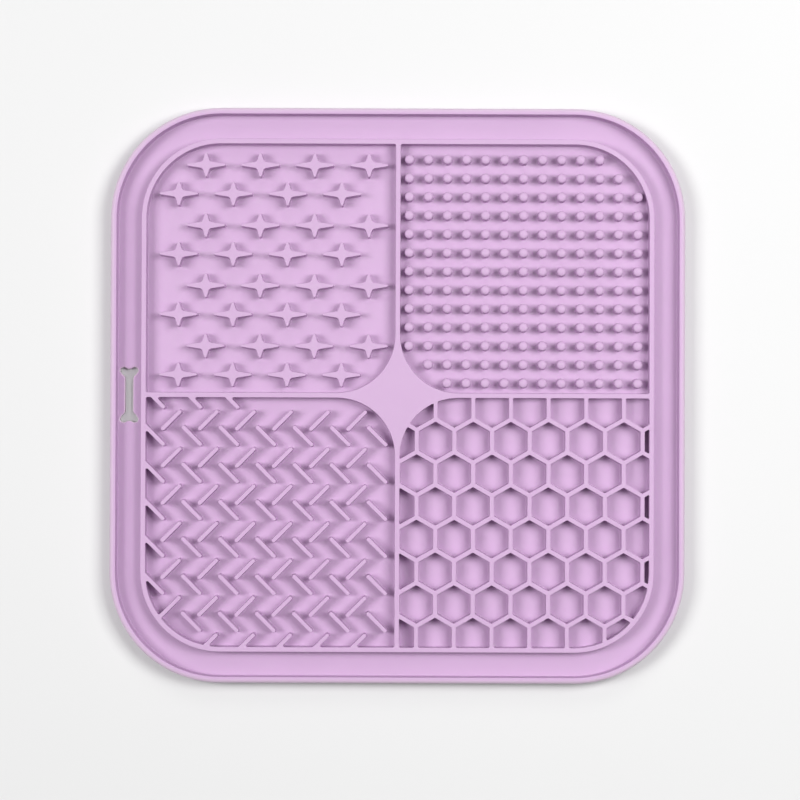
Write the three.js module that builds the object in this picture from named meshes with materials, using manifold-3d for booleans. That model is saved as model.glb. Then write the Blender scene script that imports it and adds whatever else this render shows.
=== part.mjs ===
import * as THREE from 'three';
import { mergeVertices } from 'three/addons/utils/BufferGeometryUtils.js';
import Module from 'manifold-3d';

// Slow feeder mat: one square tray of moulded silicone, in millimetres, +Z up.
// The origin is the middle of the underside. +X is to the right and +Y is to the back,
// with stars at the back left, pins at the back right, ribs at the front left
// and a honeycomb at the front right.

// Tray: an outer lip, a gutter inside it, and a ring wall round the four fields.
const SIDE = 201;
const CORNER_RADIUS = 39;
const FLOOR_TOP = 2.4;
const LIP_TOP = 8;
const LIP_FOOT = 1;
const LIP_LEAN = 0.5;
const LIP_SHOULDER = 1.1;
const LIP_WIDTH = 2.5;
const GUTTER_WIDTH = 8.7;
const GUTTER_FILLET = 1;
const WALL_TOP = 7.6;
const WALL_WIDTH = 1.65;
const CROSS_RADIUS = 20.6;
const CORNER_STEPS = 4;
const FILLET_STEPS = 2;

// Hanging slot through the gutter's floor, in the outline of a bone.
const SLOT = { x: -93.9, length: 19.4, width: 6.6, shaft: 3.4, lobe: 1.85, steps: 4 };

// Star field: rows of four-pointed posts as high as the walls, every second row further left.
const STAR = { halfWidth: 6.7, halfDepth: 4.15, tip: 0.35 };
const STAR_NECK = { x: 1.9, y: 1.05, nearX: 1.05, nearY: 1.7 };
const STAR_ROWS = 8;
const STARS_PER_ROW = 4;
const STAR_FIRST = { x: -10.16, y: 80.2 };
const STAR_PITCH = 18.94;
const STAR_PAIR_PITCH = 21.02;
const STAR_ROW_STEP = 10.03;
const STAR_SHIFT = -9.44;

// Pin field: a square grid of round pins with blunt tops, short of the field's two round corners.
const PIN = { radius: 1.6, shoulder: 6.8, sides: 8 };
const PIN_FIRST = { x: 3.93, y: 82.4 };
const PIN_PITCH = { x: 6.64, y: 6.5 };
const PINS_PER_SIDE = 13;
const PIN_CLEARANCE = 0.3;

// Herringbone field: ribs at 45 degrees as high as the walls, in columns that lean right and left
// by turns. A short one of the left column starts inside the ring wall.
const RIB = { length: 9.4, width: 1.5, root: 2 };
const RIB_PITCH = { x: 12.91, y: 12.95 };
const RIB_RIGHT = { x: -78.76, y: -8.85, turn: Math.PI / 4 };
const RIB_LEFT = { x: -71.58, y: -14.24, turn: -Math.PI / 4 };
const RIB_COLUMNS = 6;
const RIB_ROWS = 6;
const SHORT_RIB_COLUMNS = 2;

// Honeycomb field: hexagonal cells with one corner to the back, cut down from the wall top.
const CELL = { pitch: 13.11, rowStep: 11.38, wall: 1.43, columns: 8, rows: 8 };
const CELL_FIRST = { x: 0.17, y: -4.37 };

const SILICONE = { color: 0xdcb8de, roughness: 0.55, metalness: 0 };

// Distances from the tray's middle that follow from the sizes above.
const CORNER_MIDDLE = SIDE / 2 - CORNER_RADIUS;
const RING_INSET = LIP_WIDTH + GUTTER_WIDTH;
const FIELD_INSET = RING_INSET + WALL_WIDTH;
const FIELD_FAR = SIDE / 2 - FIELD_INSET;
const FIELD_NEAR = WALL_WIDTH / 2;
const CROSS_MIDDLE = FIELD_NEAR + CROSS_RADIUS;

// Raised forms start a little inside the floor, and cuts run on past the faces they open.
const SINK = 0.8;
const ABOVE = 4;
const MERGE_TOLERANCE = 1e-4;

const wasm = await Module();
wasm.setup();

function solidFrom(geometry) {
  const bare = new THREE.BufferGeometry();
  bare.setAttribute('position', geometry.getAttribute('position'));
  bare.setIndex(geometry.index);
  const merged = mergeVertices(bare, MERGE_TOLERANCE);
  const corners = merged.index.array;
  const triangles = [];
  for (let i = 0; i < corners.length; i += 3) {
    const [a, b, c] = [corners[i], corners[i + 1], corners[i + 2]];
    if (a !== b && b !== c && c !== a) {
      triangles.push(a, b, c);
    }
  }
  return new wasm.Manifold(new wasm.Mesh({
    numProp: 3,
    vertProperties: merged.getAttribute('position').array,
    triVerts: Uint32Array.from(triangles),
  }));
}

function geometryFrom(solid) {
  const mesh = solid.getMesh();
  const geometry = new THREE.BufferGeometry();
  geometry.setAttribute('position', new THREE.Float32BufferAttribute(mesh.vertProperties, 3));
  geometry.setIndex(new THREE.Uint32BufferAttribute(mesh.triVerts, 1));
  geometry.computeVertexNormals();
  return geometry;
}

function joined(solids) {
  return solids.reduce((all, next) => all.add(next));
}

// A prism over a shape, from one height to another.
function prism(shape, bottom, top, curveSegments = CORNER_STEPS) {
  const geometry = new THREE.ExtrudeGeometry(shape, {
    depth: top - bottom,
    bevelEnabled: false,
    curveSegments,
  });
  return geometry.translate(0, 0, bottom);
}

// A square with round corners, drawn inward from the tray's foot.
function roundedSquare(inset, path = new THREE.Shape()) {
  const radius = CORNER_RADIUS - inset;
  path.absarc(CORNER_MIDDLE, CORNER_MIDDLE, radius, 0, Math.PI / 2);
  path.absarc(-CORNER_MIDDLE, CORNER_MIDDLE, radius, Math.PI / 2, Math.PI);
  path.absarc(-CORNER_MIDDLE, -CORNER_MIDDLE, radius, Math.PI, 1.5 * Math.PI);
  path.absarc(CORNER_MIDDLE, -CORNER_MIDDLE, radius, 1.5 * Math.PI, 2 * Math.PI);
  path.closePath();
  return path;
}

// A block as high as the lip, with a straight slope round its top.
function slopedBlock(inset, width, height) {
  const block = new THREE.ExtrudeGeometry(roundedSquare(inset), {
    depth: LIP_TOP,
    curveSegments: CORNER_STEPS,
    bevelThickness: height,
    bevelSize: width,
    bevelSegments: 1,
  });
  return solidFrom(block.translate(0, 0, -height));
}

// The block leans in above its upright foot and has a shoulder cut off at 45 degrees.
// The well leaves the lip standing.
function trayBlock() {
  const crestInset = LIP_LEAN + LIP_SHOULDER;
  const leaning = slopedBlock(LIP_LEAN, LIP_LEAN, LIP_TOP - LIP_FOOT);
  const shouldered = slopedBlock(crestInset, 2 * crestInset, 2 * crestInset);
  const aboveFloor = new THREE.BoxGeometry(2 * SIDE, 2 * SIDE, 2 * SIDE).translate(0, 0, SIDE);
  const well = prism(roundedSquare(LIP_WIDTH), WALL_TOP, LIP_TOP + ABOVE);
  return leaning.intersect(shouldered).intersect(solidFrom(aboveFloor)).subtract(solidFrom(well));
}

// The gutter is a channel with rounded feet between the lip and the ring wall.
function gutterCut() {
  const shape = roundedSquare(LIP_WIDTH + GUTTER_FILLET);
  shape.holes.push(roundedSquare(RING_INSET - GUTTER_FILLET, new THREE.Path()));
  const channel = new THREE.ExtrudeGeometry(shape, {
    depth: LIP_TOP + ABOVE,
    curveSegments: CORNER_STEPS,
    bevelThickness: GUTTER_FILLET,
    bevelSize: GUTTER_FILLET,
    bevelSegments: FILLET_STEPS,
  });
  return solidFrom(channel.translate(0, 0, FLOOR_TOP + GUTTER_FILLET));
}

// One field's outline at the back right; the other three are its quarter turns.
function fieldShape() {
  const shape = new THREE.Shape();
  shape.moveTo(FIELD_FAR, FIELD_NEAR);
  shape.lineTo(FIELD_FAR, CORNER_MIDDLE);
  shape.absarc(CORNER_MIDDLE, CORNER_MIDDLE, CORNER_RADIUS - FIELD_INSET, 0, Math.PI / 2);
  shape.lineTo(FIELD_NEAR, FIELD_FAR);
  shape.absarc(CROSS_MIDDLE, CROSS_MIDDLE, CROSS_RADIUS, Math.PI, 1.5 * Math.PI);
  shape.closePath();
  return shape;
}

function fieldCut(quarterTurns) {
  const cut = prism(fieldShape(), FLOOR_TOP, WALL_TOP + ABOVE);
  return solidFrom(cut.rotateZ(quarterTurns * Math.PI / 2));
}

// Two round lobes at each end of a straight shaft.
function slotCut() {
  const reach = { x: SLOT.width / 2 - SLOT.lobe, y: SLOT.length / 2 - SLOT.lobe };
  const half = SLOT.shaft / 2;
  const shaft = new THREE.Shape();
  shaft.moveTo(-half, -reach.y);
  shaft.lineTo(half, -reach.y);
  shaft.lineTo(half, reach.y);
  shaft.lineTo(-half, reach.y);
  shaft.closePath();
  const pieces = [solidFrom(prism(shaft, -ABOVE, FLOOR_TOP + ABOVE))];
  for (const x of [-reach.x, reach.x]) {
    for (const y of [-reach.y, reach.y]) {
      const lobe = new THREE.Shape().absarc(x, y, SLOT.lobe, 0, 2 * Math.PI);
      pieces.push(solidFrom(prism(lobe, -ABOVE, FLOOR_TOP + ABOVE, SLOT.steps)));
    }
  }
  return joined(pieces).translate([SLOT.x, 0, 0]);
}

// One star: a blunt tip, then the two points of a soft inner corner, four times round.
function starShape() {
  const quarter = [
    [STAR.halfWidth, STAR.tip],
    [STAR_NECK.x, STAR_NECK.y],
    [STAR_NECK.nearX, STAR_NECK.nearY],
    [STAR.tip, STAR.halfDepth],
  ];
  const mirrored = quarter.map(([x, y]) => [-x, y]).reverse();
  const back = [...quarter, ...mirrored];
  const front = back.map(([x, y]) => [-x, -y]);
  return new THREE.Shape([...back, ...front].map(([x, y]) => new THREE.Vector2(x, y)));
}

function starPosts() {
  const post = solidFrom(prism(starShape(), FLOOR_TOP - SINK, WALL_TOP));
  const posts = [];
  for (let row = 0; row < STAR_ROWS; row++) {
    const odd = row % 2;
    const y = STAR_FIRST.y - Math.floor(row / 2) * STAR_PAIR_PITCH - odd * STAR_ROW_STEP;
    for (let column = 0; column < STARS_PER_ROW; column++) {
      const x = STAR_FIRST.x + odd * STAR_SHIFT - column * STAR_PITCH;
      posts.push(post.translate([x, y, 0]));
    }
  }
  return joined(posts);
}

// A pin stands only where its whole foot is on the field's floor.
function fitsField(x, y) {
  const room = PIN.radius + PIN_CLEARANCE;
  if (x < CROSS_MIDDLE && y < CROSS_MIDDLE) {
    return Math.hypot(x - CROSS_MIDDLE, y - CROSS_MIDDLE) < CROSS_RADIUS - room;
  }
  if (x > CORNER_MIDDLE && y > CORNER_MIDDLE) {
    const reach = CORNER_RADIUS - FIELD_INSET - room;
    return Math.hypot(x - CORNER_MIDDLE, y - CORNER_MIDDLE) < reach;
  }
  return true;
}

function pins() {
  const profile = [
    [0, FLOOR_TOP - SINK],
    [PIN.radius, FLOOR_TOP - SINK],
    [PIN.radius, PIN.shoulder],
    [0, WALL_TOP],
  ].map(([radius, height]) => new THREE.Vector2(radius, height));
  const pin = solidFrom(new THREE.LatheGeometry(profile, PIN.sides).rotateX(Math.PI / 2));
  const all = [];
  for (let row = 0; row < PINS_PER_SIDE; row++) {
    const y = PIN_FIRST.y - row * PIN_PITCH.y;
    for (let column = 0; column < PINS_PER_SIDE; column++) {
      const x = PIN_FIRST.x + column * PIN_PITCH.x;
      if (fitsField(x, y)) {
        all.push(pin.translate([x, y, 0]));
      }
    }
  }
  return joined(all);
}

// A rib's left end is made longer by its root.
function rib(family, column, row, root = 0) {
  const bottom = FLOOR_TOP - SINK;
  const bar = new THREE.BoxGeometry(RIB.length + root, RIB.width, WALL_TOP - bottom);
  const x = family.x + column * RIB_PITCH.x;
  const y = family.y - row * RIB_PITCH.y;
  bar.translate(-root / 2, 0, 0).rotateZ(family.turn);
  return solidFrom(bar.translate(x, y, (WALL_TOP + bottom) / 2));
}

// The field's walls cut short the ribs of its left column, back row and front row.
function ribs(field) {
  const all = [];
  for (let row = 0; row < RIB_ROWS; row++) {
    for (let column = 0; column < RIB_COLUMNS; column++) {
      all.push(rib(RIB_RIGHT, column, row), rib(RIB_LEFT, column, row));
    }
  }
  for (let row = -1; row < RIB_ROWS - 1; row++) {
    all.push(rib(RIB_LEFT, -1, row, RIB.root));
  }
  for (let column = 0; column < SHORT_RIB_COLUMNS; column++) {
    all.push(rib(RIB_LEFT, column, -1));
  }
  for (let column = 1; column < RIB_COLUMNS; column++) {
    all.push(rib(RIB_RIGHT, column, RIB_ROWS));
  }
  const deeper = field.translate([0, 0, -SINK]);
  return joined(all).intersect(deeper);
}

function cellCuts() {
  const radius = (CELL.pitch - CELL.wall) / Math.sqrt(3);
  const corners = [];
  for (let corner = 0; corner < 6; corner++) {
    const angle = Math.PI / 6 + corner * Math.PI / 3;
    corners.push(new THREE.Vector2(radius * Math.cos(angle), radius * Math.sin(angle)));
  }
  const cell = solidFrom(prism(new THREE.Shape(corners), FLOOR_TOP - SINK, WALL_TOP + ABOVE));
  const cells = [];
  for (let row = 0; row < CELL.rows; row++) {
    const shift = row % 2 ? 0 : 0.5;
    for (let column = 0; column < CELL.columns; column++) {
      const x = CELL_FIRST.x + (column + shift) * CELL.pitch;
      const y = CELL_FIRST.y - row * CELL.rowStep;
      cells.push(cell.translate([x, y, 0]));
    }
  }
  return joined(cells);
}

function mat() {
  const [pinField, starField, ribField, cellField] = [0, 1, 2, 3].map(fieldCut);
  return trayBlock()
    .subtract(gutterCut())
    .subtract(joined([pinField, starField, ribField]))
    .subtract(cellCuts().intersect(cellField))
    .subtract(slotCut())
    .add(starPosts())
    .add(pins())
    .add(ribs(ribField));
}

const silicone = new THREE.MeshStandardMaterial(SILICONE);
const mesh = new THREE.Mesh(geometryFrom(mat()), silicone);
mesh.name = 'mat';

const group = new THREE.Group();
group.add(mesh);

export default group;
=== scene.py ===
import math

import bmesh
import bpy
from mathutils import Matrix, Vector


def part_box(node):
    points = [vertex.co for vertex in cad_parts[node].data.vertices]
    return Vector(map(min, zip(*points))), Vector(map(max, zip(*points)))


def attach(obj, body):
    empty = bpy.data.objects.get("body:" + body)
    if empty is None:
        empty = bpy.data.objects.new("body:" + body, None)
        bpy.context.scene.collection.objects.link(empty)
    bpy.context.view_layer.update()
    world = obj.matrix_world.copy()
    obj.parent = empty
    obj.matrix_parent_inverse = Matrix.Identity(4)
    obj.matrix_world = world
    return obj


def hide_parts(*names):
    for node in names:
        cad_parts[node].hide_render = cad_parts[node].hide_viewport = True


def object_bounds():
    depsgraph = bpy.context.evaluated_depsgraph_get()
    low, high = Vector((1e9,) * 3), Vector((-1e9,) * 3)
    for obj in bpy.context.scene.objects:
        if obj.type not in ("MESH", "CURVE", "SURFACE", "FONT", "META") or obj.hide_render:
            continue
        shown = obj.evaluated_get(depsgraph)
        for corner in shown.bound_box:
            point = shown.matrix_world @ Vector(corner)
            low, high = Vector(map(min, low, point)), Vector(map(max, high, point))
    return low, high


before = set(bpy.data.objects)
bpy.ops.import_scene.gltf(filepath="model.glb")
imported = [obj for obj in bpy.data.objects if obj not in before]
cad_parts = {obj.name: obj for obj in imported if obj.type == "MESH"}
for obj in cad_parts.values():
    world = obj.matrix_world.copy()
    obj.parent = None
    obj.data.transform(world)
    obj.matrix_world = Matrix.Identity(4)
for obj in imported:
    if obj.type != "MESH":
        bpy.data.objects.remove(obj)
cad_low, cad_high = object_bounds()


# The view: the mat lies flat on a pale table and is seen from straight above, its back edge
# at the top of the picture. Soft panels stand to its left and right, a weaker one behind
# it, and the room fills in the rest.
MM = 0.001
LENS = 120.0
SENSOR = 36.0
PICTURE_WIDTH = 278.3 * MM
AIM = Vector((0.9 * MM, -1.57 * MM, cad_high.z))
ROLL = 0.0035
TILT = 0.0113
NEAREST_SEEN = 0.01
ROOM_LIGHT = 0.2

scene = bpy.context.scene
scene.view_settings.view_transform = "Standard"

camera = bpy.data.objects.new("camera", bpy.data.cameras.new("camera"))
camera.data.lens = LENS
camera.data.sensor_width = SENSOR
camera.data.clip_start = NEAREST_SEEN
camera.location = AIM + PICTURE_WIDTH * LENS / SENSOR * Vector((0, -math.sin(TILT), math.cos(TILT)))
camera.rotation_euler = (TILT, 0, ROLL)
scene.collection.objects.link(camera)
scene.camera = camera


def panel(name, place, width, height, power):
    """A soft light panel, turned to the middle of the mat."""
    light = bpy.data.lights.new(name, "AREA")
    light.shape = "RECTANGLE"
    light.size = width
    light.size_y = height
    light.energy = power
    lamp = bpy.data.objects.new(name, light)
    lamp.location = place
    lamp.rotation_euler = (-Vector(place)).to_track_quat("-Z", "Y").to_euler()
    scene.collection.objects.link(lamp)


panel("panel_left", place=(-0.87, 0.09, 1.22), width=0.48, height=0.62, power=13.6)
panel("panel_right", place=(0.47, 0.155, 0.83), width=0.4, height=0.46, power=7.1)
panel("panel_back", place=(0.0, 1.1, 1.02), width=0.6, height=0.5, power=2.5)

room = bpy.data.worlds.new("room")
room.use_nodes = True
background = room.node_tree.nodes["Background"]
background.inputs["Color"].default_value = (1, 1, 1, 1)
background.inputs["Strength"].default_value = ROOM_LIGHT
scene.world = room


# The table: a pale matt board under the mat, larger than the picture on every side. It isn't
# part of the mat, so it is only staged.
TABLE_HALF = 2.0
TABLE_GREY = 0.675
TABLE_ROUGHNESS = 0.9


class Signal:
    """One shader socket. Arithmetic on it adds the Math nodes."""

    def __init__(self, finish, socket):
        self.finish = finish
        self.socket = socket

    def maths(self, operation, left, right):
        return self.finish.node("ShaderNodeMath", {"operation": operation}, {0: left, 1: right})

    def __add__(self, other):
        return self.maths("ADD", self, other)

    def __sub__(self, other):
        return self.maths("SUBTRACT", self, other)

    def __rsub__(self, other):
        return self.maths("SUBTRACT", other, self)

    def __mul__(self, other):
        return self.maths("MULTIPLY", self, other)

    def __gt__(self, other):
        return self.maths("GREATER_THAN", self, other)

    __radd__ = __add__
    __rmul__ = __mul__


class Finish:
    """One material and its nodes."""

    def __init__(self, name):
        self.material = bpy.data.materials.new(name)
        self.material.use_nodes = True
        self.tree = self.material.node_tree

    def node(self, kind, settings, inputs, output=0):
        """Adds a node with its settings and the values or links of its sockets."""
        made = self.tree.nodes.new(kind)
        for name, value in settings.items():
            setattr(made, name, value)
        for name, value in inputs.items():
            self.feed(made.inputs[name], value)
        return Signal(self, made.outputs[output])

    def shade(self, name, value):
        """Gives one of the shader's own sockets its value or link."""
        self.feed(self.tree.nodes["Principled BSDF"].inputs[name], value)

    def feed(self, socket, value):
        if isinstance(value, Signal):
            self.tree.links.new(value.socket, socket)
        else:
            socket.default_value = value


def object_of(shape, name):
    """Makes a shape an object in the scene."""
    mesh = bpy.data.meshes.new(name)
    shape.to_mesh(mesh)
    made = bpy.data.objects.new(name, mesh)
    scene.collection.objects.link(made)
    return made


table_finish = Finish("pale_table")
table_finish.shade("Base Color", (TABLE_GREY, TABLE_GREY, TABLE_GREY, 1))
table_finish.shade("Roughness", TABLE_ROUGHNESS)

board = bmesh.new()
bmesh.ops.create_grid(
    board, x_segments=1, y_segments=1, size=TABLE_HALF,
    matrix=Matrix.Translation((0, 0, cad_low.z)),
)
table = object_of(board, "table")
board.free()
table.data.materials.append(table_finish.material)


# The tray: one skin of silicone rubber pressed in a mould, drawn here in millimetres from its
# outline inward. The lip leans in a little and has a round shoulder, the gutter beside it has
# small round feet, and the ring wall carries the level on which all the walls end.
mat_low, mat_high = (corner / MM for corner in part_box("mat"))
SIDE = mat_high.x - mat_low.x
LIP_TOP = mat_high.z
CORNER_RADIUS = 39.0
CORNER_STEPS = 22
CORNER_MIDDLE = SIDE / 2 - CORNER_RADIUS
FLOOR_TOP = 2.4
WALL_TOP = 7.6
WALL_WIDTH = 1.65
LIP_FOOT = 1.0
LIP_WIDTH = 2.5
LIP_LEAN = 0.4
LIP_ROUND = 1.3
LIP_ROUND_STEPS = 7
LIP_CROWN = 0.2
LIP_CREST = LIP_WIDTH - LIP_LEAN - LIP_ROUND - LIP_CROWN
GUTTER_WIDTH = 8.7
GUTTER_FOOT = 0.4
GUTTER_FOOT_STEPS = 4
CROWN = 0.15
CROWN_STEPS = 3

# An upright side leans by the draft, so that it comes out of the mould.
DRAFT = 0.1

# The underside's edge: the height of each step and how far it goes inward.
UNDERSIDE_EDGE = ((0.4, 0), (0.12, 0.1), (0, 0.4))

# Points nearer than CLOSE are merged in an outline, and nearer than HAIR everywhere.
CLOSE = 0.04
HAIR = 1e-4

# A corner that turns by more than SHARP_TURN is cut off square before it is rounded. An arc
# takes the SNUG share of its length, so that two arcs that meet don't overlap.
SHARP_TURN = 1.8
SNUG = 0.995

skin = bmesh.new()


def level_to_upright(inward, rise, steps):
    """A quarter round as steps inward and upward, which starts level and ends upright."""
    turns = [math.pi / 2 * step / steps for step in range(steps + 1)]
    marks = [(inward * math.sin(turn), rise * (1 - math.cos(turn))) for turn in turns]
    pairs = zip(marks, marks[1:])
    return [(after[0] - before[0], after[1] - before[1]) for before, after in pairs]


def upright_to_level(inward, rise, steps):
    """The same quarter round the other way about: it starts upright and ends level."""
    return level_to_upright(inward, rise, steps)[::-1]


def press(faces, section, shape=skin):
    """Presses flat faces along a section, each of its steps inward and out of the plane."""
    for inward, outward in section:
        bmesh.ops.inset_region(
            shape, faces=faces, thickness=inward, depth=outward,
            use_even_offset=True, use_boundary=True,
        )


def turn_at(corner):
    """How far a flat outline turns at one of its corners."""
    sides = [edge.other_vert(corner).co - corner.co for edge in corner.link_edges]
    return math.pi - sides[0].angle(sides[1])


def chamfer(shape, corners, length, steps):
    """Cuts off corners of flat outlines in a few steps and gives the new corners."""
    return bmesh.ops.bevel(
        shape, geom=corners, affect="VERTICES", offset=length, segments=steps, profile=0.5,
        material=-1, clamp_overlap=True,
    )["verts"]


def round_corners(shape, corners, radius, steps):
    """Rounds corners of flat outlines."""
    for corner in corners:
        turn = turn_at(corner)
        blunt = [corner]
        if turn > SHARP_TURN:
            turn /= 2
            blunt = chamfer(shape, blunt, radius * math.tan(turn / 2) / math.cos(turn), 1)
        chamfer(shape, blunt, SNUG * radius * math.tan(turn / 2), steps)
    bmesh.ops.remove_doubles(shape, verts=shape.verts[:], dist=CLOSE)


def lay(shape):
    """Copies a flat outline into the skin and gives its faces, all of them facing up."""
    bmesh.ops.recalc_face_normals(shape, faces=shape.faces[:])
    for face in shape.faces:
        if face.normal.z < 0:
            face.normal_flip()
    sheet = bpy.data.meshes.new("outline")
    shape.to_mesh(sheet)
    shape.free()
    known = set(skin.faces)
    skin.from_mesh(sheet)
    bpy.data.meshes.remove(sheet)
    return [face for face in skin.faces if face not in known]


def only(kind, geometry):
    return [item for item in geometry if isinstance(item, kind)]


def lowered(edges, height, inset):
    """Carries the outer edge on downward and a little inward."""
    grown = bmesh.ops.extrude_edge_only(skin, edges=edges)["geom"]
    corners = only(bmesh.types.BMVert, grown)
    share = 1 - inset / (SIDE / 2)
    bmesh.ops.scale(skin, vec=(share, share, 1), verts=corners)
    bmesh.ops.translate(skin, vec=(0, 0, height - corners[0].co.z), verts=corners)
    return only(bmesh.types.BMEdge, grown)


# A section is a list of steps, each of them how far inward and how far up.
LIP = (
    [(LIP_LEAN, LIP_TOP - LIP_ROUND - LIP_FOOT)]
    + upright_to_level(LIP_ROUND, LIP_ROUND, LIP_ROUND_STEPS)
    + [(LIP_CREST, 0)]
    + level_to_upright(LIP_CROWN, -LIP_CROWN, CROWN_STEPS)
)
GUTTER = (
    [(DRAFT, FLOOR_TOP + GUTTER_FOOT + LIP_CROWN - LIP_TOP)]
    + upright_to_level(GUTTER_FOOT, -GUTTER_FOOT, GUTTER_FOOT_STEPS)
    + [(GUTTER_WIDTH - 2 * GUTTER_FOOT - 2 * DRAFT, 0)]
    + level_to_upright(GUTTER_FOOT, GUTTER_FOOT, GUTTER_FOOT_STEPS)
)
RING_WALL = (
    [(DRAFT, WALL_TOP - CROWN - FLOOR_TOP - GUTTER_FOOT)]
    + upright_to_level(CROWN, CROWN, CROWN_STEPS)
)

tray = bmesh.new()
corners = bmesh.ops.create_grid(tray, x_segments=1, y_segments=1, size=SIDE / 2)["verts"]
bmesh.ops.translate(tray, vec=(0, 0, LIP_FOOT), verts=corners)
round_corners(tray, corners, CORNER_RADIUS, CORNER_STEPS)
press(lay(tray), LIP + GUTTER + RING_WALL)

rim = [edge for edge in skin.edges if edge.is_boundary]
for height, inset in UNDERSIDE_EDGE:
    rim = lowered(rim, height, inset)
bmesh.ops.contextual_create(skin, geom=rim)


# The hanging slot: left open by the mould in the gutter's floor at the middle of the left
# side, in the outline of a bone. Its upper edge is well rounded.
SLOT_END = 10.2
SLOT_LEAST_TURN = 0.3
SLOT_RADIUS = 1.0
SLOT_STEPS = 5
SLOT_CROWN = 0.6
SLOT_CROWN_STEPS = 4

# A quarter of the bone: how far to the side of its middle line, and how far in from its end.
SLOT_QUARTER = ((0, 0.75), (1.7, -0.1), (3.35, 0.4), (3.8, 1.9), (2.9, 3.4), (1.95, 4.2))

# The cutter's widest outline lies SLOT_LIFT above the floor, so that no two faces coincide,
# and a cutter goes on by PAST beyond what it cuts.
SLOT_LIFT = 0.02
SLOT_MIDDLE = Vector((-93.95, 0, FLOOR_TOP + SLOT_LIFT))
PAST = 4.0

# The points of a wide arc turn by less than this.
WIDE_ARC_TURN = 0.2


def corners_to_round(shape, least_turn, radius, reach=0.0):
    """The corners of flat outlines that turn by more than least_turn and have room to round.
    Points of wide arcs within reach of such a corner are taken out first."""
    spare = [
        point for point in shape.verts
        if turn_at(point) < WIDE_ARC_TURN and any(
            edge.calc_length() < reach and turn_at(edge.other_vert(point)) > least_turn
            for edge in point.link_edges
        )
    ]
    bmesh.ops.dissolve_verts(shape, verts=spare)
    takes = {}
    for corner in shape.verts:
        turn = turn_at(corner)
        takes[corner] = radius * math.tan(turn / 2) if turn > least_turn else 0
    return [
        corner for corner, length in takes.items()
        if length and all(
            edge.calc_length() > length + takes[edge.other_vert(corner)] + CLOSE
            for edge in corner.link_edges
        )
    ]


def block(shape, bottom, top):
    """Makes a flat outline a block between two heights, and gives its lower face."""
    lower = shape.faces[:]
    bmesh.ops.translate(shape, vec=(0, 0, bottom - shape.verts[:][0].co.z), verts=shape.verts[:])
    grown = bmesh.ops.extrude_face_region(shape, geom=lower)["geom"]
    bmesh.ops.translate(shape, vec=(0, 0, top - bottom), verts=only(bmesh.types.BMVert, grown))
    bmesh.ops.recalc_face_normals(shape, faces=shape.faces[:])
    return lower


def cut(shape, cutter):
    """Takes one closed shape from another by a boolean."""
    whole = object_of(shape, "whole")
    taken = object_of(cutter, "taken")
    difference = whole.modifiers.new("difference", "BOOLEAN")
    difference.operation = "DIFFERENCE"
    difference.solver = "EXACT"
    difference.object = taken
    dressed = whole.evaluated_get(bpy.context.evaluated_depsgraph_get())
    shape.clear()
    shape.from_mesh(dressed.to_mesh())
    dressed.to_mesh_clear()
    cutter.free()
    for spent in (whole, taken):
        bpy.data.objects.remove(spent)


def add_ring(shape, points):
    """Adds a flat face with its corners at these points, and gives the corners."""
    made = bmesh.ops.create_circle(shape, cap_ends=True, segments=len(points), radius=1)["verts"]
    for corner, (x, y) in zip(made, points):
        corner.co = (x, y, 0)
    return made


def open_up(face):
    """Takes a flat face out of the skin and gives the edges that it leaves."""
    edges = list(face.edges)
    bmesh.ops.delete(skin, geom=[face], context="FACES_ONLY")
    return edges


upper_right = [(x, SLOT_END - y) for x, y in SLOT_QUARTER]
right = upper_right + [(x, -y) for x, y in reversed(upper_right)]
left = [(-x, y) for x, y in reversed(right[1:-1])]

slot = bmesh.new()
add_ring(slot, right + left)
round_corners(slot, corners_to_round(slot, SLOT_LEAST_TURN, SLOT_RADIUS), SLOT_RADIUS, SLOT_STEPS)
bmesh.ops.translate(slot, vec=SLOT_MIDDLE, verts=slot.verts[:])
slot_foot = block(slot, SLOT_MIDDLE.z, SLOT_MIDDLE.z + PAST)
slot_side = level_to_upright(SLOT_CROWN, SLOT_CROWN, SLOT_CROWN_STEPS) + [(DRAFT / 2, PAST)]
press(slot_foot, slot_side, slot)
cut(skin, slot)

# The level inside the ring wall is now the largest face that looks up.
level = max(skin.faces, key=lambda face: face.calc_area() * face.normal.z)
level_edges = open_up(level)


# The three open fields: pockets between the ring wall and the two cross walls, the corner at
# the middle of the mat rounded off so that the walls meet in a four-pointed flat. All are
# quarter turns of one outline, and the honeycomb's cells are cut to the fourth.
FIELD_NEAR = WALL_WIDTH / 2 - CROWN
FIELD_INSET = LIP_WIDTH + GUTTER_WIDTH + WALL_WIDTH - CROWN
FIELD_FAR = SIDE / 2 - FIELD_INSET
FIELD_CORNER = CORNER_RADIUS - FIELD_INSET
CROSS_RADIUS = 20.6
CROSS_STEPS = 18
TEE_RADIUS = 0.64
TEE_STEPS = 2
FOOT = 0.3
FOOT_STEPS = 3
HOLLOW = (
    level_to_upright(CROWN, -CROWN, CROWN_STEPS)
    + [(DRAFT, FLOOR_TOP + FOOT + CROWN - WALL_TOP)]
    + upright_to_level(FOOT, -FOOT, FOOT_STEPS)
)


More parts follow.
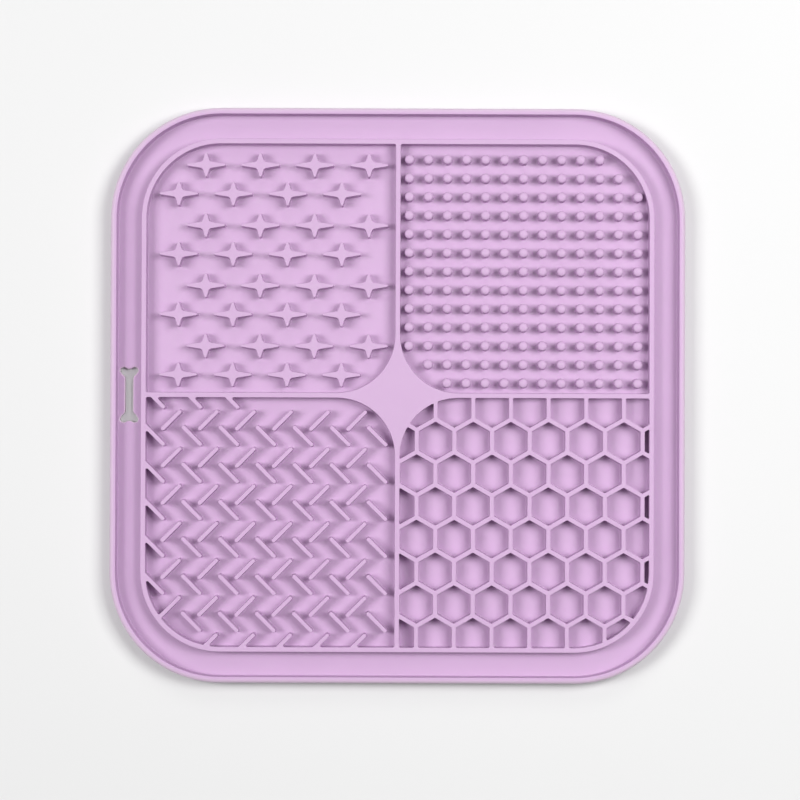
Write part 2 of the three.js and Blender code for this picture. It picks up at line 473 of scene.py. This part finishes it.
def field_outline(quarter_turns, far_steps=CORNER_STEPS, cross_steps=CROSS_STEPS):
    """A pocket's outline. Each of its corners is known by the sum of its two distances."""
    shape = bmesh.new()
    bmesh.ops.create_grid(shape, x_segments=1, y_segments=1, size=1)
    for corner in shape.verts:
        corner.co.x = FIELD_FAR if corner.co.x > 0 else FIELD_NEAR
        corner.co.y = FIELD_FAR if corner.co.y > 0 else FIELD_NEAR
        corner.co.z = WALL_TOP
    for reach, radius, steps in (
        (2 * FIELD_FAR, FIELD_CORNER, far_steps),
        (2 * FIELD_NEAR, CROSS_RADIUS, cross_steps),
        (FIELD_FAR + FIELD_NEAR, TEE_RADIUS, TEE_STEPS),
    ):
        found = [point for point in shape.verts if abs(point.co.x + point.co.y - reach) < CLOSE]
        round_corners(shape, found, radius, steps)
    turn = Matrix.Rotation(quarter_turns * math.pi / 2, 3, "Z")
    bmesh.ops.rotate(shape, cent=(0, 0, 0), matrix=turn, verts=shape.verts[:])
    return shape


pin_field = lay(field_outline(0))[0]
star_field = lay(field_outline(1))[0]


# The herringbone's outline: ribs that start inside a wall are cut out of the pocket, so that
# they are one with the wall and as high. The pocket is a block here, and a boolean takes the
# ribs' blocks from it.
RIB_LENGTH = 9.6
RIB_WIDTH = 1.38
RIB_STEPS = 10
RIB_LEAN = math.pi / 4
RIB_PITCH = Vector((12.91, -12.95, 0))
RIB_RIGHT = Vector((-78.76, -8.85, 0))
RIB_LEFT = Vector((-71.58, -14.24, 0))
RIB_COLUMNS = 6
RIB_ROWS = 6
RIB_ROOT = 2.2
ROOT_LEAST_TURN = 0.6
ROOT_STEPS = 3


def add_rib(shape, first, column, row, turn, grow, root=0.0):
    """One rib's outline, a bar with round ends, its left end made longer by root."""
    radius = RIB_WIDTH / 2 + grow
    reach = (RIB_LENGTH - RIB_WIDTH) / 2
    made = bmesh.ops.create_circle(shape, cap_ends=True, segments=2 * RIB_STEPS, radius=radius)
    for corner in made["verts"]:
        corner.co.x += reach if corner.co.x > 0 else -reach - root
    place = first + Vector((RIB_PITCH.x * column, RIB_PITCH.y * row, 0))
    turned = Matrix.Translation(place) @ Matrix.Rotation(turn, 4, "Z")
    bmesh.ops.transform(shape, matrix=turned, verts=made["verts"])


# The ribs that start in a wall: down the left side, two at the back, along the front, and one
# in the corner.
stub_columns = [(RIB_LEFT, -1, row, -RIB_LEAN) for row in range(-1, RIB_ROWS - 1)]
stub_rows = [(RIB_LEFT, column, -1, -RIB_LEAN) for column in (0, 1)]
front_row = [(RIB_RIGHT, column, RIB_ROWS, RIB_LEAN) for column in range(1, RIB_COLUMNS)]
corner_rib = (RIB_RIGHT, 0, RIB_ROWS - 1, RIB_LEAN)

roots = bmesh.new()
for first, column, row, turn in stub_columns + stub_rows + front_row + [corner_rib]:
    add_rib(roots, first, column, row, turn, -CROWN, RIB_ROOT)
block(roots, WALL_TOP - PAST, WALL_TOP + 2 * PAST)

pocket = field_outline(2)
block(pocket, WALL_TOP, WALL_TOP + PAST)
cut(pocket, roots)
upper = [face for face in pocket.faces if abs(face.calc_center_median().z - WALL_TOP) > CLOSE]
bmesh.ops.delete(pocket, geom=upper, context="FACES")
bmesh.ops.dissolve_faces(pocket, faces=pocket.faces[:])
bmesh.ops.remove_doubles(pocket, verts=pocket.verts[:], dist=CLOSE)
root_corners = corners_to_round(pocket, ROOT_LEAST_TURN, TEE_RADIUS, RIB_ROOT)
round_corners(pocket, root_corners, TEE_RADIUS, ROOT_STEPS)
rib_field = lay(pocket)[0]


# The honeycomb: hexagonal cells with a corner to the back, one wall apart, cut off straight
# where they meet the ring wall, the cross walls and the flat at the middle. What is left of
# a cell is kept unless it is too narrow to mould.
CELL_PITCH = 13.11
CELL_ROW = 11.38
CELL_WALL = 1.5
CELL_FIRST = Vector((0.17, -4.37, WALL_TOP))
CELL_ROWS = 8
CELL_COLUMNS = 8
CELL_LEAST_TURN = 0.5
CELL_CORNER = 0.64
CUT_CELL_CORNER = 0.4
CELL_CORNER_STEPS = 3
LEAST_CELL_WIDTH = 0.9
LEAST_CELL_EDGE = 0.3
WHOLE_SHARE = 0.97

cells = bmesh.new()
cell_radius = (CELL_PITCH - CELL_WALL + 2 * CROWN) / math.sqrt(3)
for row in range(CELL_ROWS):
    for column in range(CELL_COLUMNS):
        across = (column + (0 if row % 2 else 0.5)) * CELL_PITCH
        place = CELL_FIRST + Vector((across, -row * CELL_ROW, 0))
        bmesh.ops.create_circle(
            cells, cap_ends=True, segments=6, radius=cell_radius,
            matrix=Matrix.Translation(place),
        )
least_whole = WHOLE_SHARE * max(face.calc_area() for face in cells.faces)

border = field_outline(3, far_steps=12, cross_steps=10)
border_face = border.faces[:][0]
middle = border_face.calc_center_median()
for edge in border_face.edges:
    start, end = (corner.co for corner in edge.verts)
    outward = (end - start).cross(Vector((0, 0, 1)))
    if outward.dot(start - middle) < 0:
        outward.negate()
    bmesh.ops.bisect_plane(
        cells, geom=cells.verts[:] + cells.edges[:] + cells.faces[:], dist=HAIR,
        plane_co=start, plane_no=outward, clear_outer=True,
    )
border.free()

narrow = [
    face for face in cells.faces
    if 4 * face.calc_area() / sum(edge.calc_length() for edge in face.edges) < LEAST_CELL_WIDTH
]
bmesh.ops.delete(cells, geom=narrow, context="FACES")
bmesh.ops.remove_doubles(cells, verts=cells.verts[:], dist=LEAST_CELL_EDGE)
for radius, is_whole in ((CELL_CORNER, True), (CUT_CELL_CORNER, False)):
    corners = [
        corner for corner in corners_to_round(cells, CELL_LEAST_TURN, radius, 2 * LEAST_CELL_EDGE)
        if (corner.link_faces[0].calc_area() > least_whole) == is_whole
    ]
    round_corners(cells, corners, radius, CELL_CORNER_STEPS)
cell_faces = lay(cells)
whole_cells = [face for face in cell_faces if face.calc_area() > least_whole]
cut_cells = [face for face in cell_faces if face.calc_area() <= least_whole]


# The walls: the level that they share is filled in between the outlines, and each outline is
# then pressed down to the floor, which leaves the walls standing. A cut cell has a smaller
# crown and foot, as its corners are tight.
CUT_CROWN = CROWN / 2
CUT_CROWN_STEPS = 2
CUT_FOOT = 0.1
CUT_HOLLOW = (
    level_to_upright(CUT_CROWN, -CUT_CROWN, CUT_CROWN_STEPS)
    + [(DRAFT / 2, FLOOR_TOP + CUT_FOOT + CUT_CROWN - WALL_TOP), (CUT_FOOT, -CUT_FOOT)]
)


def edges_of(faces):
    return [edge for face in faces for edge in face.edges]


def fill(edges):
    """Fills the flat between outlines, facing up."""
    bmesh.ops.triangle_fill(skin, edges=edges, use_beauty=True, normal=(0, 0, 1))


fields = [pin_field, star_field, rib_field]
fill(level_edges + edges_of(fields + whole_cells + cut_cells))
press(fields, HOLLOW)
press(whole_cells, HOLLOW)
press(cut_cells, CUT_HOLLOW)


# The star posts: four-pointed, long to the sides and short to front and back, with blunt
# tips, soft inner corners and flat tops, one with the floor that they stand on. Eight rows of
# four, every second row further left.
STAR_ROWS = 8
STARS_PER_ROW = 4
STAR_FIRST = Vector((-10.16, 80.2, 0))
STAR_PITCH = 18.94
STAR_PAIR_PITCH = 21.02
STAR_ROW_STEP = 10.03
STAR_SHIFT = -9.44
STAR_SIDE_TIP = 0.33
STAR_BACK_TIP = 0.36
STAR_NECK = 1.2
STAR_STEPS = 3
STAR_SWELL = 0.06
POST = (
    level_to_upright(FOOT, FOOT, FOOT_STEPS)
    + [(DRAFT, WALL_TOP - FLOOR_TOP - FOOT - CROWN)]
    + upright_to_level(CROWN, CROWN, CROWN_STEPS)
)

# The arms: how far each reaches, half its width there, and how much that grows for each
# millimetre inward.
STAR_SIDE_ARM = (6.3, 0.33, 0.1565)
STAR_BACK_ARM = (4.1, 0.27, 0.306)


def star_outline(grow):
    """The star's foot: its top's edges moved out by grow, its tips and inner corners rounded."""
    side_reach, side_half, side_fall = STAR_SIDE_ARM
    back_reach, back_half, back_fall = STAR_BACK_ARM
    side_edge = side_half + side_fall * side_reach + grow * math.hypot(1, side_fall)
    back_edge = back_half + back_fall * back_reach + grow * math.hypot(1, back_fall)
    neck_x = (back_edge - back_fall * side_edge) / (1 - side_fall * back_fall)
    neck_y = side_edge - side_fall * neck_x
    half = [(0, back_edge / back_fall), (neck_x, neck_y)]
    half += [(side_edge / side_fall, 0), (neck_x, -neck_y)]
    shape = bmesh.new()
    made = add_ring(shape, half + [(-x, -y) for x, y in half])
    back_tips, right_necks, side_tips, left_necks = (made[start::4] for start in range(4))
    round_corners(shape, right_necks + left_necks, STAR_NECK - grow, STAR_STEPS)
    round_corners(shape, back_tips, STAR_BACK_TIP + grow, STAR_STEPS)
    round_corners(shape, side_tips, STAR_SIDE_TIP + grow, STAR_STEPS)
    return shape


def repeat(shape, places):
    """Copies one outline to each place."""
    first = shape.verts[:] + shape.edges[:] + shape.faces[:]
    corners = shape.verts[:]
    for place in places[1:]:
        copied = bmesh.ops.duplicate(shape, geom=first)["geom"]
        bmesh.ops.translate(shape, vec=place, verts=only(bmesh.types.BMVert, copied))
    bmesh.ops.translate(shape, vec=places[0], verts=corners)


def stand(field, shape, section):
    """Stands posts on a field's floor: the floor is filled round their feet first."""
    for corner in shape.verts:
        corner.co.z = FLOOR_TOP
    floor_edges = open_up(field)
    feet = lay(shape)
    fill(floor_edges + edges_of(feet))
    press(feet, section)


star_places = []
for row in range(STAR_ROWS):
    pair, odd = divmod(row, 2)
    for column in range(STARS_PER_ROW):
        across = odd * STAR_SHIFT - column * STAR_PITCH
        along = -pair * STAR_PAIR_PITCH - odd * STAR_ROW_STEP
        star_places.append(STAR_FIRST + Vector((across, along, 0)))
stars = star_outline(FOOT + DRAFT + STAR_SWELL)
repeat(stars, star_places)
stand(star_field, stars, POST)


# The pins: round posts with straight sides and low domed tops, one with their floor, on a
# square grid that stops short of the ring wall's corner and of the flat at the middle.
PIN_RADIUS = 1.65
PIN_STEPS = 16
PIN_DOME = 0.8
PIN_DOME_STEPS = 6
PIN_TIP = 0.12
PIN_FOOT = 0.3
PIN_FOOT_STEPS = 2
PIN_DRAFT = 0.06
PIN_FIRST = Vector((3.93, 82.4, 0))
PIN_PITCH = Vector((6.64, -6.5, 0))
PINS_PER_SIDE = 13
PIN_CLEARANCE = 0.3
PIN = (
    level_to_upright(PIN_FOOT, PIN_FOOT, PIN_FOOT_STEPS)
    + [(PIN_DRAFT, WALL_TOP - FLOOR_TOP - PIN_FOOT - PIN_DOME)]
    + upright_to_level(PIN_RADIUS - PIN_TIP, PIN_DOME, PIN_DOME_STEPS)
)


def has_room(place):
    """Whether a pin stands clear of the pocket's two large arcs."""
    clear = PIN_RADIUS + PIN_CLEARANCE
    for middle, radius, side in (
        (WALL_WIDTH / 2 + CROSS_RADIUS, CROSS_RADIUS, -1),
        (CORNER_MIDDLE, FIELD_CORNER - CROWN, 1),
    ):
        across = (place.x - middle) * side
        along = (place.y - middle) * side
        if across > 0 and along > 0 and math.hypot(across, along) > radius - clear:
            return False
    return True


pins = bmesh.new()
for row in range(PINS_PER_SIDE):
    for column in range(PINS_PER_SIDE):
        place = PIN_FIRST + Vector((PIN_PITCH.x * column, PIN_PITCH.y * row, 0))
        if has_room(place):
            bmesh.ops.create_circle(
                pins, cap_ends=True, segments=PIN_STEPS,
                radius=PIN_RADIUS + PIN_FOOT + PIN_DRAFT, matrix=Matrix.Translation(place),
            )
stand(pin_field, pins, PIN)


# The whole ribs of the herringbone: bars with round ends, one with their floor and as high as
# the walls, in columns that lean right and left by turns.
ribs = bmesh.new()
for row in range(RIB_ROWS):
    for column in range(RIB_COLUMNS):
        if (RIB_RIGHT, column, row, RIB_LEAN) != corner_rib:
            add_rib(ribs, RIB_RIGHT, column, row, RIB_LEAN, FOOT + DRAFT)
        add_rib(ribs, RIB_LEFT, column, row, -RIB_LEAN, FOOT + DRAFT)
stand(rib_field, ribs, POST)


# The silicone: lilac through and through, satin from the mould's blasted steel, with a faint
# cloudiness and a fine grain. A little light passes through it. The thin edges of the lip and
# of the hanging slot are painted paler in the base colour. This is painted light: it stands in
# for the glow through thin rubber and the pale reflection on the lip's steep outer side and on
# the slot's round edge.
LILAC = (0.547, 0.368, 0.565, 1)
DEEP_LILAC = (0.51, 0.345, 0.528, 1)
# Painted light: the paler colour that is painted on the thin edges of the lip and the slot.
PAINTED_EDGE_LIGHT = (0.63, 0.52, 0.61, 1)
CLOUD_SCALE = 35.0
CLOUD_DETAIL = 3.0
CLOUD_ROUGHNESS = 0.12
CLOUD_RELIEF = 0.5
GRAIN_SCALE = 2600.0
GRAIN_DETAIL = 2.0
GRAIN_ROUGHNESS = 0.08
LEAST_ROUGHNESS = 0.42
RELIEF = 0.05 * MM
RELIEF_STRENGTH = 0.15
REFRACTION = 1.41
LIGHT_SHARE = 0.22
LIGHT_REACH = 1.5 * MM
LIGHT_TINT = (1.0, 0.7, 1.0)
# How far in from the outline the lip's painted light reaches, and how far below the floor the
# slot's painted light starts.
LIP_PAINTED_LIGHT_WIDTH = 2.0
SLOT_PAINTED_LIGHT_DEPTH = 0.18
OFF_TABLE = 0.01

# Every point is lowered by more than its height, so that only the distance in the plane counts.
ALOFT = 1.0

silicone = Finish("silicone")
point = silicone.node("ShaderNodeTexCoord", {}, {}, "Object")


def noise(scale, detail):
    sockets = {"Vector": point, "Scale": scale, "Detail": detail}
    return silicone.node("ShaderNodeTexNoise", {}, sockets)


def vectors(operation, *parts, output=0):
    sockets = dict(enumerate(parts))
    return silicone.node("ShaderNodeVectorMath", {"operation": operation}, sockets, output)


def between(value, start, end):
    """0 up to the start, 1 from the end on, and straight from the one to the other."""
    return silicone.node("ShaderNodeMapRange", {}, {"Value": value, 1: start * MM, 2: end * MM})


def mix(share, first, second):
    sockets = {"Factor": share, 6: first, 7: second}
    return silicone.node("ShaderNodeMix", {"data_type": "RGBA"}, sockets, 2)


cloud = noise(CLOUD_SCALE, CLOUD_DETAIL)
grain = noise(GRAIN_SCALE, GRAIN_DETAIL)

past_middle = vectors(
    "SUBTRACT", vectors("ABSOLUTE", point), (CORNER_MIDDLE * MM, CORNER_MIDDLE * MM, ALOFT),
)
from_middle = vectors("LENGTH", vectors("MAXIMUM", past_middle), output=1)
height = silicone.node("ShaderNodeSeparateXYZ", {}, {0: point}, 2)

# Painted light: the lip is painted paler towards its outline and its top, and the slot's sides
# below the floor are painted paler, in place of glow through thin rubber and grazing reflection.
lip_painted_light = between(from_middle, CORNER_RADIUS - LIP_PAINTED_LIGHT_WIDTH, CORNER_RADIUS)
near_crest = between(height, FLOOR_TOP, LIP_TOP - LIP_ROUND)
slot_painted_light = between(height, FLOOR_TOP, FLOOR_TOP - SLOT_PAINTED_LIGHT_DEPTH)
off_table = height > OFF_TABLE * MM
on_lip = from_middle > (CORNER_RADIUS - LIP_PAINTED_LIGHT_WIDTH) * MM
painted_edge_light = lip_painted_light * near_crest + slot_painted_light * off_table * (1 - on_lip)

# The base colour carries the painted light of the thin edges over the cloudy lilac.
silicone.shade("Base Color", mix(painted_edge_light, mix(cloud, LILAC, DEEP_LILAC), PAINTED_EDGE_LIGHT))
roughness = LEAST_ROUGHNESS + CLOUD_ROUGHNESS * cloud + GRAIN_ROUGHNESS * grain
silicone.shade("Roughness", roughness)
bumps = grain + CLOUD_RELIEF * cloud
relief = {"Strength": RELIEF_STRENGTH, "Distance": RELIEF, "Height": bumps}
silicone.shade("Normal", silicone.node("ShaderNodeBump", {}, relief))
silicone.shade("Subsurface Weight", LIGHT_SHARE)
silicone.shade("Subsurface Radius", LIGHT_TINT)
silicone.shade("Subsurface Scale", LIGHT_REACH)
silicone.shade("IOR", REFRACTION)


# The finished mat: the skin is closed, brought from millimetres to metres, and shaded smooth
# with its flat faces kept flat. It is one piece and rides on the object's only body.
LEVEL_WEIGHT = 60

bmesh.ops.remove_doubles(skin, verts=skin.verts[:], dist=HAIR)
bmesh.ops.recalc_face_normals(skin, faces=skin.faces[:])
bmesh.ops.scale(skin, vec=(MM, MM, MM), verts=skin.verts[:])
for face in skin.faces:
    face.smooth = True
mat = object_of(skin, "feeder_mat")
skin.free()
mat.data.materials.append(silicone.material)
level_normals = mat.modifiers.new("level_normals", "WEIGHTED_NORMAL")
level_normals.mode = "FACE_AREA"
level_normals.weight = LEVEL_WEIGHT

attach(mat, "root")
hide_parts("mat")
